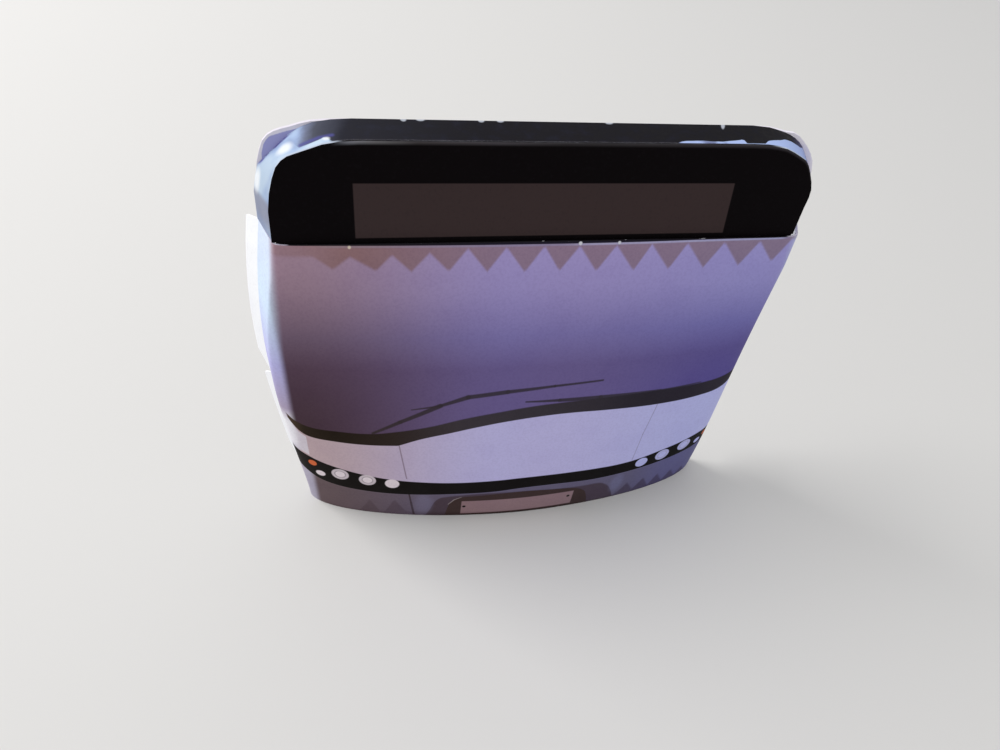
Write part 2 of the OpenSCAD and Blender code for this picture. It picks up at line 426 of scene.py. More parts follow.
def rim(s, z):
    """The printed face at station s and height z."""
    t = math.sin(math.radians(min(abs(s), CORNER)))
    side = SIDE_LOW * (1 - rise(z)) + SIDE_HIGH * rise(z)
    past_corner = max(abs(s) - CORNER, 0) / (SIDE_END - CORNER)
    back = (bow(t, BOW_DEPTH, BOW_POWER) * (1 - rise(z))
            + bow(t, CORNER_DEPTH, CORNER_POWER) * rise(z) + side * past_corner)
    out = math.tan(SPLAY) * rise(z) * back
    return Vector((math.copysign(t * reach(s, z) + out, s), setback(z) + back, z))


print("seam reaches back to y =", round(rim(0, SEAM_Z).y, 2), "mm")

# %% [markdown]
# ## The printed sheet
#
# The sheet starts as it did for its maker, as a flat piece: a grid. Each of its points is then
# moved to its place on the bow, and Solidify gives it the card's thickness, inward, with bare
# paper on the inside and at the cut edges. Extruding and bending by hand can't follow a bow that
# changes all the way up, so the points are placed by the formula. The UV map keeps the distance
# across the flat card and the height, because the print was drawn on flat card.

# %% Grid of the sheet
COLUMNS, ROWS, KEY_DIGITS = 128, 70, 5
STATIONS = ((0, 0), (0.72, 78), (0.92, CORNER), (1, SIDE_END))


def station_at(share):
    """Stations for a share from -1 to 1: closer together round the corners."""
    for (low, first), (high, last) in zip(STATIONS, STATIONS[1:]):
        if abs(share) < high:
            break
    return math.copysign(first + (last - first) * (abs(share) - low) / (high - low), share)


quiet()
bpy.ops.mesh.primitive_grid_add(x_subdivisions=COLUMNS, y_subdivisions=ROWS, size=2)
sheet = bpy.context.object
sheet.name = "printed_sheet"
flat_places = [(v.co.x, v.co.y) for v in sheet.data.vertices]
columns = sorted({round(across, KEY_DIGITS) for across, _ in flat_places})
print("grid of", len(columns), "columns and", len(flat_places) // len(columns), "rows")

# %% Bend the grid and note the distance across
SHEET_SPAN = 100


def arc_table(z, shares):
    """Distance across the card from the middle, for each column at this height."""
    points = [rim(station_at(share), z) for share in shares]
    steps = [0]
    for before, after in zip(points, points[1:]):
        steps.append(steps[-1] + (after - before).length)
    middle = steps[len(steps) // 2]
    return {share: distance - middle for share, distance in zip(shares, steps)}


def write_uv(piece, places_mm, span):
    """Stores (across, up) in millimetres for each vertex, as a UV map that is `span` wide."""
    layer = piece.data.uv_layers.active
    for loop in piece.data.loops:
        across, up = places_mm[loop.vertex_index]
        layer.data[loop.index].uv = ((across + UV_LEFT) / span, up / UV_HIGH)


tables = {}
across_up = []
for vertex, (across_share, up_share) in zip(sheet.data.vertices, flat_places):
    height = (up_share + 1) / 2 * SEAM_Z
    row = round(up_share, KEY_DIGITS)
    if row not in tables:
        tables[row] = arc_table(height, columns)
    across_up.append((tables[row][round(across_share, KEY_DIGITS)], height))
    vertex.co = rim(station_at(across_share), height) * MM
write_uv(sheet, across_up, SHEET_SPAN)
floor_line = tables[-1.0].values()
print("across at the floor:", round(min(floor_line), 2), "to", round(max(floor_line), 2), "mm")


# %% Give the sheet its thickness
def thicken(piece, rim_slot, sharp_angle):
    """Adds the card's thickness on the inner side, and smooths all but the sharp edges."""
    thick = piece.modifiers.new("thickness", "SOLIDIFY")
    thick.thickness = CARD * MM
    thick.offset = -1
    thick.use_even_offset = True
    thick.material_offset = 1
    thick.material_offset_rim = rim_slot
    quiet(piece)
    bpy.ops.object.modifier_apply(modifier="thickness")
    bpy.ops.object.shade_smooth_by_angle(angle=math.radians(sharp_angle))
    print(piece.name, "faces:", len(piece.data.polygons))


if sheet.data.polygons[len(sheet.data.polygons) // 2].normal.y > 0:
    sheet.data.flip_normals()
# Slot 0 waits for the print and slot 2 for the cut edge. Slot 1 is the bare inside.
PRINT_SLOT, EDGE_SLOT = 0, 2
for slot in range(3):
    sheet.data.materials.append(tab_card)
thicken(sheet, rim_slot=EDGE_SLOT, sharp_angle=40)
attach(sheet, "root")
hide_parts("front_sheet")

# %% [markdown]
# ## The print
#
# The ink lies in soft-edged areas: a violet windscreen that darkens downward, a dark trim under
# it with two wipers, a pale bumper, a black band with round lamps, and a grey skirt. The plate
# and the sign places are bare. Each edge is a smooth curve through a few measured points, and
# each lamp is rings round one point.
#
# Part of the photo's own light is painted in too, because one lamp and an even world don't give
# it: the card is warmer and darker at the left and bluer at the right, the lower windscreen is
# dimmed, and the margins are pale. The teeth that show through the thin card are also painted.
# Under another light these tones would stay as they are.

# %% Edges of the print
ACROSS, UP = (-35, 35), (0, 30)
TRIM_TOP = [(-35, 24), (-32, 21.0), (-31, 19.7), (-29.8, 18.6), (-28.2, 18.0), (-25, 17.8),
            (-20.5, 17.75), (-17.9, 18.15), (-13.5, 19.1), (-9, 20.4), (-4.6, 21.3), (0, 22.0),
            (5, 22.3), (10, 22.4), (17, 22.4), (23, 22.35), (27, 22.5), (30, 23.2), (35, 25.5)]
TRIM_LOW = [(-35, 21.5), (-31.4, 19.4), (-30.4, 17.8), (-29.6, 16.75), (-28.6, 16.15), (-25.2, 15.8),
            (-21, 15.62), (-17.3, 15.7, "VECTOR"), (-14.3, 16.98), (-10.7, 18.0), (-7.1, 18.95),
            (-3, 19.75), (1.35, 20.25), (5, 20.38), (10, 20.2), (17.4, 19.9), (24, 19.9), (27, 20.1),
            (29, 20.9), (35, 24.5)]
BAND_TOP = [(-35, 16), (-30.7, 12.5), (-29, 11.65), (-27.4, 10.95), (-25.6, 10.35), (-21.8, 9.35),
            (-18, 8.67), (-14, 8.33), (-10, 8.2), (-4, 8.4), (0, 8.65), (6, 8.68), (11, 8.6),
            (14, 8.58), (17.2, 8.85), (20.5, 9.5), (24.1, 10.1), (27, 10.6), (29, 10.8), (35, 12)]
BAND_LOW = [(-35, 11.5), (-30, 8.0), (-28.9, 7.2), (-27.9, 6.65), (-25.9, 6.1), (-22, 5.62),
            (-18, 5.42), (-14, 5.45), (-10, 5.6), (-4, 5.85), (0, 6.3), (4, 6.38), (11, 6.1),
            (14.4, 6.2), (17.8, 6.4), (21.4, 6.72), (25.2, 7.1), (28, 7.4), (30, 7.9), (35, 9.5)]
print("edge knots:", [len(e) for e in (TRIM_TOP, TRIM_LOW, BAND_TOP, BAND_LOW)])

# %% Paper under the ink
INKS = {
    "paper": (0.565, 0.530, 0.845), "glass_top": (0.43, 0.355, 0.68), "glass_high": (0.375, 0.315, 0.62),
    "glass_mid": (0.235, 0.20, 0.46), "glass_low": (0.165, 0.125, 0.31), "dim_left": (0.38, 0.33, 0.28),
    "dim_right": (0.70, 0.66, 0.95), "teeth_shadow": (0.75, 0.62, 0.46), "seam": (0.33, 0.29, 0.46),
    "seam_haze": (0.62, 0.60, 0.86), "glue": (0.016, 0.013, 0.024), "glue_dot": (0.74, 0.74, 0.80),
    "wiper": (0.045, 0.036, 0.050), "skirt": (0.148, 0.128, 0.208), "line": (0.16, 0.12, 0.18),
    "crease": (0.050, 0.034, 0.048), "band": (0.006, 0.0045, 0.005), "flap": (0.072, 0.048, 0.066),
    "recess": (0.056, 0.034, 0.033), "recess_light": (0.50, 0.44, 0.46), "plate": (0.305, 0.198, 0.218),
    "teeth_shade": (0.55, 0.46, 0.46), "light_gap": (0.24, 0.24, 0.42), "warm_left": (1.0, 0.80, 0.53),
    "cool_right": (0.92, 1.01, 1.06), "blue_skirt": (0.96, 0.98, 1.28), "lamp_left": (0.84, 0.74, 0.78),
    "lamp_right": (0.53, 0.55, 0.93), "ring": (0.32, 0.27, 0.31), "orange": (0.70, 0.15, 0.05),
    "sign": (0.86, 0.86, 0.95), "dots": (0.62, 0.58, 0.66), "cloud": (0.80, 0.76, 0.86)}

printed = Paper("printed_card")
u, z = printed.uv_mm(SHEET_SPAN)
printed.start(INKS["paper"])
trim_top = drawn_edge(u, TRIM_TOP, ACROSS, UP)
trim_low = drawn_edge(u, TRIM_LOW, ACROSS, UP)
band_top = drawn_edge(u, BAND_TOP, ACROSS, UP)
band_low = drawn_edge(u, BAND_LOW, ACROSS, UP)
print("inks:", len(INKS))

# %% Windscreen
TONE_TOP = 45
glass = printed.ramp(z * (1 / TONE_TOP), [
    (0.48, INKS["glass_low"]), (0.62, INKS["glass_low"]), (0.72, INKS["glass_mid"]),
    (0.85, INKS["glass_high"]), (0.97, INKS["glass_top"])])
on_glass = (z - trim_top + 0.3).above(0.0, 0.2)
printed.lay(on_glass, glass)
# Painted shade: the lower windscreen is darkened, warm toward the left and bluish toward the right.
dim_left = u.spread(-32, -4, 1.0, 0.0) * z.spread(16, 46, 1.0, 0.0) * on_glass
printed.lay(dim_left, INKS["dim_left"], "MULTIPLY")
dim_right = u.spread(4, 28, 0.0, 1.0) * z.spread(20, 38, 1.0, 0.0) * on_glass
printed.lay(dim_right, INKS["dim_right"], "MULTIPLY")
print("nodes, with the windscreen:", len(printed.tree.nodes))

# %% Header teeth that show through as painted shade, and a painted shadow line along the glue line over them
TEETH = [(-35, 42.2), (-25.6, 42.2), (-23.7, 40.8), (-21.9, 42.1), (-19.3, 40.55), (-17.6, 42.2),
         (-15.6, 40.35), (-13.65, 42.35), (-11.6, 40.3), (-9.6, 42.75), (-7.4, 40.15), (-5.4, 42.8),
         (-3.2, 40.0), (-1.2, 42.85), (0.75, 40.05), (2.8, 42.8), (5.05, 39.9), (7.05, 42.8),
         (9.5, 39.85), (11.2, 42.85), (13.75, 39.9), (15.5, 42.9), (18.05, 40.0), (20.05, 42.9),
         (22.45, 40.15), (24.5, 42.95), (26.65, 40.5), (28.6, 43.0), (35, 43.0)]
TEETH_UP, GLUE_UP, SEAM_FLECK_Z = (38, 44), (42, 44), 43.18
GLUE_LINE = [(-35, 43.5), (-26, 43.4), (-15, 43.24), (-3, 43.17), (8, 43.2), (20, 43.38), (35, 43.5)]
teeth = drawn_edge(u, TEETH, ACROSS, TEETH_UP, "VECTOR")
# Painted shade: the print is darkened where the header's teeth lie behind the thin card.
teeth_shadow_mask = (z - teeth).above(0.1, 0.55) * u.spread(-29, -21, 0.45, 1.0)
printed.lay(teeth_shadow_mask, INKS["teeth_shadow"], "MULTIPLY")
over_glue = z - drawn_edge(u, GLUE_LINE, ACROSS, GLUE_UP)
beside_glue = over_glue.above(-0.22, 0.12)
printed.lay(beside_glue * abs(u - 1.5).below(26.5, 2.0) * 0.7, INKS["seam"])
printed.lay(beside_glue * u.above(2.5, 4) * u.below(27.5, 1.0) * 0.4, INKS["seam_haze"])
# Painted shadow: a nearly black line along the sheet's top edge, in the gap under the header's panel.
printed.lay(over_glue.above(0.0, 0.06) * abs(u).below(28.2, 0.6), INKS["glue"])
# Pale flecks on the seam line.
for across, radius in ((-21.9, 0.16), (2.8, 0.2), (7.3, 0.17)):
    dot = far_from(u, z, (across, SEAM_FLECK_Z)).below(radius, 0.14)
    printed.lay(dot, INKS["glue_dot"])
print("knots of the header teeth:", len(TEETH))

# %% Wipers
WIPER_BOLD, WIPER_DARK, WIPER_SOFT = 1.15, 0.94, 0.2
# Each stroke: start, end, width at the start and width at the end.
WIPERS = (
    ((-15.6, 22.0), (-11.9, 22.6), 0.14, 0.30), ((-12.1, 22.6), (-8.7, 23.85), 0.40, 0.60),
    ((-8.7, 23.85), (-3.8, 24.45), 0.55, 0.55), ((-3.8, 24.45), (2.15, 24.95), 0.50, 0.32),
    ((2.15, 24.95), (8.45, 25.25), 0.32, 0.24), ((-20.4, 17.9), (-17.0, 19.95), 0.35, 0.50),
    ((-17.0, 19.95), (-12.1, 22.6), 0.50, 0.60), ((-1.3, 22.75), (3.1, 22.65), 0.20, 0.40),
    ((3.1, 22.65), (8.6, 22.5), 0.45, 0.60), ((8.6, 22.5), (17.1, 22.3), 0.60, 0.50),
    ((17.1, 22.3), (23.2, 22.5), 0.40, 0.15))
for start, end, wide_start, wide_end in WIPERS:
    arm = stroke(u, z, start, end, wide_start * WIPER_BOLD, wide_end * WIPER_BOLD, WIPER_SOFT)
    printed.lay(arm * WIPER_DARK, INKS["wiper"])
print("nodes, with the wipers:", len(printed.tree.nodes))

# %% Trim, bumper lines and band
trim = (z - trim_low).above(0.0, 0.12) * (trim_top - z).above(0.0, 0.25) * u.above(-31.05, 0.35)
trim_ink = printed.ramp((u - ACROSS[0]) * (1 / (ACROSS[1] - ACROSS[0])), [
    (0.04, (0.110, 0.085, 0.075)), (0.085, (0.024, 0.018, 0.014)), (0.14, (0.016, 0.011, 0.008)),
    (0.24, (0.030, 0.022, 0.022)), (0.36, (0.052, 0.043, 0.054)), (0.55, (0.046, 0.038, 0.048)),
    (0.70, (0.028, 0.022, 0.032)), (0.915, (0.030, 0.022, 0.034)), (0.965, (0.075, 0.058, 0.062))])
printed.lay(trim, trim_ink)
under_band = (band_low - z).above(0.0, 0.15)
printed.lay(under_band, INKS["skirt"])
# Each line: start, end, width, share of ink, and the ink.
PANEL_LINES = (
    ((-17.15, 15.7), (-16.2, 9.1), 0.14, 0.75, "line"),
    ((-15.85, 5.6), (-15.55, 3.5), 0.22, 0.9, "crease"),
    ((-15.55, 3.5), (-15.1, 0.3), 0.30, 0.9, "crease"),
    ((17.4, 19.9), (16.6, 14.3), 0.10, 0.55, "line"),
    ((16.6, 14.3), (16.3, 9.0), 0.10, 0.55, "line"))
for start, end, wide, dark, ink in PANEL_LINES:
    printed.lay(stroke(u, z, start, end, wide, wide, 0.16) * dark, INKS[ink])
band = (z - band_low).above(0.0, 0.12) * (band_top - z).above(0.0, 0.12)
printed.lay(band, INKS["band"])
print("nodes, with the band:", len(printed.tree.nodes))

# %% Recess and blank plate in the skirt
RECESS = [(-35, 0, "VECTOR"), (-10.6, 0, "VECTOR"), (-10.35, 2.3), (-9.9, 3.7), (-8.6, 4.75), (-6, 5.05),
          (-3, 5.3), (0, 5.5), (4.3, 5.2), (8.3, 4.6), (9.7, 3.75), (10.5, 2.1), (10.9, 0, "VECTOR"),
          (35, 0, "VECTOR")]
FLAP_SHADOW = [(-35, 0, "VECTOR"), (-13.5, 0, "VECTOR"), (-12.9, 1.5), (-11.7, 4.5), (-10.9, 4.9), (9.8, 4.9),
        (12.0, 4.85), (12.9, 4.4), (14.6, 1.9), (15.2, 0, "VECTOR"), (35, 0, "VECTOR")]
recess_top = drawn_edge(u, RECESS, ACROSS, UP)
flap_top = drawn_edge(u, FLAP_SHADOW, ACROSS, UP)
# Painted shadow: a dark area in the skirt on both sides of the recess.
printed.lay((flap_top - z).above(0.0, 0.45) * 0.9, INKS["flap"])
printed.lay((recess_top - z).above(0.0, 0.25), INKS["recess"])
# Painted highlight: a pale line along the upper left edge of the recess.
edge_light = stroke(u, z, (-10.3, 3.1), (-9.5, 4.25), 0.10, 0.16, 0.12).most(
    stroke(u, z, (-9.5, 4.25), (-8.5, 4.85), 0.16, 0.06, 0.12))
printed.lay(edge_light * 0.6, INKS["recess_light"])
lean_z = z - u * 0.012
plate = abs(u + 0.1).below(8.3, 0.12) * lean_z.above(0.62, 0.1) * lean_z.below(3.9, 0.12)
printed.lay(plate, INKS["plate"])
for place in ((-8.0, 2.46), (7.5, 2.82)):
    printed.lay(far_from(u, z, place).below(0.25, 0.16), INKS["band"])
print("knots of recess and flap:", len(RECESS), len(FLAP_SHADOW))

# %% Show-through of the floor plate's teeth as painted shade, and painted light beside them
FLOOR_TEETH = [(-35, 0), (-24, 0), (-22.9, 0), (-21.3, 3.4), (-19.9, 0.4), (-19.2, 0.6), (-17.9, 3.9),
               (-16.3, 1.0), (-15.5, 0.8), (14.9, 0), (15.9, 0.9), (17.05, 3.1), (18.5, 0.6),
               (19.8, 3.25), (21.3, 0.4), (22.35, 3.1), (23.9, 0.4), (24.95, 2.8), (26.5, 0.2),
               (27.6, 2.0), (28.6, 0), (35, 0)]
floor_teeth = drawn_edge(u, FLOOR_TEETH, ACROSS, UP, "VECTOR")
tooth_share = u.spread(-26, 17, 0.45, 0.85)
printed.lay((floor_teeth - z).above(-0.1, 0.9) * tooth_share, INKS["teeth_shade"], "MULTIPLY")
# Painted light: paler spots in the skirt beside the teeth, where light comes through the card.
left_gap = oval(u, z, (-13.9, 3.2), 1.6, 3.2).below(0.8, 0.8)
right_gap = oval(u, z, (15.0, 3.9), 1.2, 2.6).below(0.8, 0.8)
printed.lay(left_gap.most(right_gap) * under_band * 0.35, INKS["light_gap"])
print("knots of the floor teeth:", len(FLOOR_TEETH))

# %% Tint across the print: painted light, warmer and darker at the left and bluer at the right and in the right of the skirt
printed.lay(u.spread(-29, -3, 1.0, 0.0), INKS["warm_left"], "MULTIPLY")
printed.lay(u.spread(0, 28, 0.0, 1.0), INKS["cool_right"], "MULTIPLY")
printed.lay(u.spread(15, 24, 0.0, 1.0) * under_band, INKS["blue_skirt"], "MULTIPLY")
print("tints:", [INKS[ink] for ink in ("warm_left", "cool_right", "blue_skirt")])

# %% Lamps
RING_OUT, RING_IN = 0.70, 0.56
# Each round lamp: its middle, its radius, and whether it has rings.
LAMPS = (
    ((-25.11, 8.85), 1.16, True), ((-21.47, 8.24), 1.14, True), ((-18.15, 7.80), 0.97, False),
    ((18.15, 7.82), 0.97, False), ((21.50, 8.35), 1.14, True), ((25.19, 9.00), 1.12, True))
# Each small one: its middle, its half-axes, and its ink.
SMALL_LAMPS = (
    ((-27.83, 8.2), 0.66, 0.60, "lamp_left"), ((27.92, 8.5), 0.60, 0.55, "lamp_right"),
    ((-28.75, 10.25), 0.58, 0.60, "orange"), ((28.95, 9.6), 0.30, 0.55, "orange"))
# Painted light: the lamps at the left, small ones too, get a warm bright ink, and those at the right a
# bluish dimmer one with fainter rings.
for place, radius, ringed in LAMPS:
    ink, ring_share = ("lamp_left", 1.0) if place[0] < 0 else ("lamp_right", 0.5)
    away = far_from(u, z, place)
    printed.lay(away.below(radius, 0.14), INKS[ink])
    if ringed:
        for outer, inner, dark in ((1.0, RING_OUT, 0.35), (RING_OUT, RING_IN, 0.75)):
            ring = away.above(radius * inner, 0.1) * away.below(radius * outer, 0.1)
            printed.lay(ring * (dark * ring_share), INKS["ring"])
for place, wide, high, ink in SMALL_LAMPS:
    printed.lay(oval(u, z, place, wide, high).below(1.0, 0.25), INKS[ink])
print("nodes, with the lamps:", len(printed.tree.nodes))

# %% Blank sign at the left end of the bumper
sign = u.below(-28.95, 0.12) * (z - band_top).above(0.35, 0.15) * (trim_low - z).above(0.35, 0.15)
printed.lay(sign * 0.55, INKS["sign"])
print("nodes, with the sign:", len(printed.tree.nodes))

# %% Pale margins, grain of the print and its skin
unprinted = (band + trim).least(1.0).inverse()
margin_tone = printed.ramp(z * (1 / TONE_TOP), [
    (0.05, (0.46, 0.43, 0.54)), (0.26, (0.54, 0.50, 0.62)), (0.31, (0.94, 0.92, 0.97)),
    (0.40, (0.95, 0.94, 0.98)), (0.46, (0.50, 0.42, 0.58)), (0.62, (0.55, 0.54, 0.90)),
    (0.80, (0.68, 0.83, 1.0)), (0.95, (0.70, 0.80, 0.97))])
# The pale margins at the rolled corners are partly bare card and partly painted light, bright and bluish
# where the corner turns toward the lamp.
left_margin = (u + z.spread(7, 12.5, 29.0, 30.3)).below(0.0, 1.1).most(
    (u + z.spread(20, 40, 31.1, 30.0, smooth=False)).below(0.0, 1.7) * on_glass)
right_margin = (u - z.spread(24, 40, 30.2, 29.0)).above(0.0, 1.8)
printed.lay(left_margin * unprinted * 0.94, margin_tone)
printed.lay(right_margin * unprinted * 0.6, margin_tone)
dots = printed.noise(3200)
cloud = printed.noise(260, 3.0, 0.55)
printed.lay(dots.spread(0.40, 0.68, 0.0, 0.18), INKS["dots"], "MULTIPLY")
printed.lay(cloud.spread(0.42, 0.70, 0.0, 0.16), INKS["cloud"], "MULTIPLY")
sheen = cloud.spread(0.3, 0.7, 0.46, 0.58)
printed.finish(sheen, dots, lift=0.02, strength=0.25, shine=0.045)
sheet.data.materials[PRINT_SLOT] = printed.material
print("print nodes:", len(printed.tree.nodes))

# %% Cut edges of the card
cut_edge = Paper("cut_edge")
cut_edge.start((0.60, 0.56, 0.68))
edge_x, _, edge_z = cut_edge.object_mm()
rubbed = cut_edge.noise(900)
cut_edge.lay(rubbed.spread(0.30, 0.42, 0.6, 0.0), (0.30, 0.25, 0.32))
# Painted shadow: the sheet's top cut edge is nearly black where it runs under the header.
under_header = edge_z.above(43.2, 0.2) * abs(edge_x).below(28.0, 0.5)
cut_edge.lay(under_header, (0.014, 0.012, 0.016))
cut_edge.lay(rubbed.spread(0.66, 0.76, 0.0, 0.9), (0.80, 0.79, 0.85))
cut_edge.finish(0.75, rubbed, lift=0.03, strength=0.3, shine=0.15)
sheet.data.materials[EDGE_SLOT] = cut_edge.material
print("cut edge nodes:", len(cut_edge.tree.nodes))

# %% [markdown]
# ## The header
#
# The header is a shallow box: a black front panel, a strip folded over its outline, and a back
# plate. Scissors don't follow a curve quite evenly, so the outlines are lists of measured points,
# given as x and the distance up the leaning face, from the left foot over the top to the right
# foot. The strip's front edge is the panel's outline, and its rear left corner is pressed in.

# %% Measured outlines of the header
FRONT_EDGE = [(-29.5, 0), (-29.48, 3.2), (-29.2, 5.0), (-28.8, 6.4), (-28.35, 7.5), (-27.8, 8.15),
              (-27.2, 8.56), (-26.3, 8.88), (-25.0, 9.32), (-23.9, 9.7), (-22.4, 9.96), (-20.5, 10.06),
              (20.9, 10.1), (22.8, 10.05), (24.0, 9.92), (25.05, 9.72), (26.0, 9.35), (27.0, 8.87),
              (27.7, 8.5), (28.15, 8.0), (28.6, 7.25), (29.13, 6.16), (29.42, 5.24), (29.42, 4.31),
              (29.2, 3.1), (28.8, 0)]
REAR_EDGE = [(-31.0, 0), (-31.0, 2.9), (-30.68, 4.5), (-30.3, 5.65), (-29.6, 6.3), (-28.9, 6.9),
             (-28.05, 7.7), (-27.2, 8.45), (-26.0, 9.2), (-24.8, 9.68), (-23.0, 9.98), (-21.0, 10.1),
             (22.3, 10.1), (24.4, 9.92), (25.3, 9.72), (26.3, 9.45), (27.13, 9.18), (28.0, 8.75),
             (28.6, 8.35), (29.1, 7.9), (29.7, 7.1), (30.4, 6.1), (30.75, 5.2), (30.8, 4.3),
             (30.6, 3.1), (30.2, 0)]
BACK_EDGE = [(-30.6, 1.0), (-30.8, 2.77), (-30.6, 4.3), (-30.37, 5.8), (-30.0, 6.97), (-29.63, 7.84),
             (-29.1, 8.42), (-28.5, 8.76), (-27.82, 9.0), (-26.86, 9.25), (-25.9, 9.55), (-24.94, 9.76),
             (-23.5, 9.88), (-21, 9.94), (22.5, 9.94), (24.5, 9.85), (25.6, 9.65), (26.56, 9.44),
             (27.6, 9.34), (28.4, 9.0), (29.05, 8.5), (29.75, 7.9), (30.45, 7.1), (31.0, 6.2),
             (31.25, 5.1), (31.3, 3.9), (31.2, 1.0)]
PANEL_Y, STRIP_Y, BACK_Y = 0.6, 0.9, 4.3


def at_depth(place, depth):
    """A point of an outline, this deep behind the printed face."""
    z = SEAM_Z + place[1] * math.cos(LEAN)
    return Vector((place[0], setback(z) + depth, z))


print("points:", len(FRONT_EDGE), len(REAR_EDGE), len(BACK_EDGE))


# %% Cut a plate of card along an outline
def cut_plate(name, outline, depth):
    """A filled ring whose points are set on the outline, then extruded by one card."""
    quiet()
    bpy.ops.mesh.primitive_circle_add(vertices=len(outline), radius=1, fill_type="NGON")
    plate = bpy.context.object
    plate.name = name
    for vertex, place in zip(plate.data.vertices, outline):
        vertex.co = at_depth(place, depth) * MM
    bpy.ops.object.mode_set(mode="EDIT")
    bpy.ops.mesh.select_all(action="SELECT")
    bpy.ops.mesh.extrude_region_move(TRANSFORM_OT_translate={"value": (0, CARD * MM, 0)})
    bpy.ops.mesh.select_all(action="SELECT")
    bpy.ops.mesh.normals_make_consistent(inside=False)
    bpy.ops.object.mode_set(mode="OBJECT")
    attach(plate, "root")
    print(name, "faces:", len(plate.data.polygons))
    return plate


TEETH_COUNT, TOOTH_PITCH, TOOTH_SHIFT, TOOTH_TIP, TOOTH_HALF = 13, 4.2, 1.5, 0.125, 1.53
ROOT_LEFT, ROOT_RIGHT, ROOT_TALL = -29.1, 28.6, 0.8
ROOT_H, TOOTH_H = ROOT_TALL / math.cos(LEAN), TOOTH_TALL / math.cos(LEAN)
lower_edge = [(ROOT_RIGHT, 0), (ROOT_RIGHT, -ROOT_H)]
for number in reversed(range(TEETH_COUNT)):
    middle_x = TOOTH_SHIFT + TOOTH_PITCH * (number - (TEETH_COUNT - 1) / 2)
    lower_edge += [(middle_x + TOOTH_HALF, -ROOT_H), (middle_x + TOOTH_TIP, -TOOTH_H),
                   (middle_x - TOOTH_TIP, -TOOTH_H), (middle_x - TOOTH_HALF, -ROOT_H)]
lower_edge += [(ROOT_LEFT, -ROOT_H), (ROOT_LEFT, 0)]
header_panel = cut_plate("header_panel", FRONT_EDGE + lower_edge, PANEL_Y)
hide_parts("header_front")
header_plate = cut_plate("header_plate", BACK_EDGE, BACK_Y)
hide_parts("header_back")

# %% [markdown]
# ## Black card of the panel
#
# The panel is printed nearly black, with a dark grey field where the destination would be. The
# field stays blank. Scissors leave the card's core open to view at its cut edge, so the colour
# depends on how deep a point lies in the card. At both ends the cut edge is pale, and along the
# top it is nearly as dark as the ink.


# %% How deep a point lies behind the leaning face
def behind_face(card):
    """Three measures of a point: x, the distance up the leaning face, and the depth behind it."""
    x, y, height = card.object_mm()
    start = setback(SEAM_Z) - SEAM_Z * math.tan(LEAN)
    up_face = (height - SEAM_Z) * (1 / math.cos(LEAN))
    return x, up_face, y - height * math.tan(LEAN) - start


panel = Paper("panel_card")
x, up_panel, depth = behind_face(panel)
panel.start((0.0034, 0.0022, 0.0027))
field = abs(x + 0.72).below(20.5, 0.15) * up_panel.above(0.32, 0.12) * up_panel.below(6.0, 0.12)
panel.lay(field, (0.047, 0.031, 0.031))
grain = panel.noise(FIBRES)
panel.lay(grain.spread(0.5, 0.8, 0.0, 0.15), (0.014, 0.012, 0.015))
print("panel nodes so far:", len(panel.tree.nodes))

# %% Worn rim and cut edge of the panel
PANEL_UP = (0, 12)
worn = panel.noise(420, 3.0)
core = panel.ramp(worn, [(0.35, (0.012, 0.011, 0.014)), (0.50, (0.020, 0.019, 0.022)),
                         (0.70, (0.045, 0.045, 0.052))])
OUTLINE = [(-35, 6)] + FRONT_EDGE[3:22] + [(35, 6)]
outline = drawn_edge(x, OUTLINE, ACROSS, PANEL_UP, "VECTOR")
rubbed_ink = panel.ramp((x + 24) * (1 / 48), [
    (0.0, (0.24, 0.25, 0.30)), (0.10, (0.14, 0.135, 0.14)), (0.19, (0.050, 0.043, 0.045)),
    (0.36, (0.060, 0.053, 0.060)), (0.50, (0.033, 0.029, 0.031)), (1.0, (0.038, 0.033, 0.037))])
panel.lay((up_panel - outline).above(-0.21, 0.36) * x.above(-22.0, 2.5), rubbed_ink)
cut_face = depth.above(0.66, 0.04) * up_panel.above(0.0, 0.1)
pale_ends = x.below(-22.5, 1.5).most(x.above(24, 2.0) * up_panel.above(6, 1.0))
panel.lay(cut_face, core)
panel.lay(cut_face * pale_ends, (0.50, 0.56, 0.68))
panel.lay(depth.above(0.898, 0.002), (0.78, 0.77, 0.82))
panel.finish(grain.spread(0.3, 0.7, 0.46, 0.58), grain, lift=0.02, strength=0.2, shine=0.03)
header_panel.data.materials.append(panel.material)
print("panel nodes:", len(panel.tree.nodes))

# %% Back plate of the header: a lilac front face inside a pale rim
LILAC_TOP = [(-35, 1, "VECTOR"), (-30.1, 1, "VECTOR"), (-29.93, 5.98), (-29.72, 6.96), (-29.34, 7.83),
             (-28.82, 8.31), (-28.24, 8.51), (-27.38, 8.76), (-26.42, 9.01), (-24.5, 9.4), (-20, 9.55),
             (20, 9.55), (25.5, 9.2), (29, 8.2), (30.6, 6.6), (31, 4), (31.2, 1, "VECTOR"),
             (35, 1, "VECTOR")]
back_card = Paper("back_card")
x, up_back, depth = behind_face(back_card)
back_card.start((0.76, 0.72, 0.80))
fibres = back_card.noise(FIBRES)
lilac_top = drawn_edge(x, LILAC_TOP, ACROSS, PANEL_UP)
inside_rim = (lilac_top - up_back + (fibres - 0.5) * 0.1).above(0.0, 0.12)
back_card.lay(depth.below(4.34, 0.03) * inside_rim, (0.35, 0.35, 0.63))
back_card.lay(x.spread(18, 26, 0.0, 0.75), (0.92, 0.88, 0.98))
back_card.lay(fibres.spread(0.5, 0.8, 0.0, 0.15), (0.45, 0.42, 0.50))
back_card.finish(0.7, fibres, lift=0.03, strength=0.3, shine=0.15)
header_plate.data.materials.append(back_card.material)
print("back plate nodes:", len(back_card.tree.nodes))

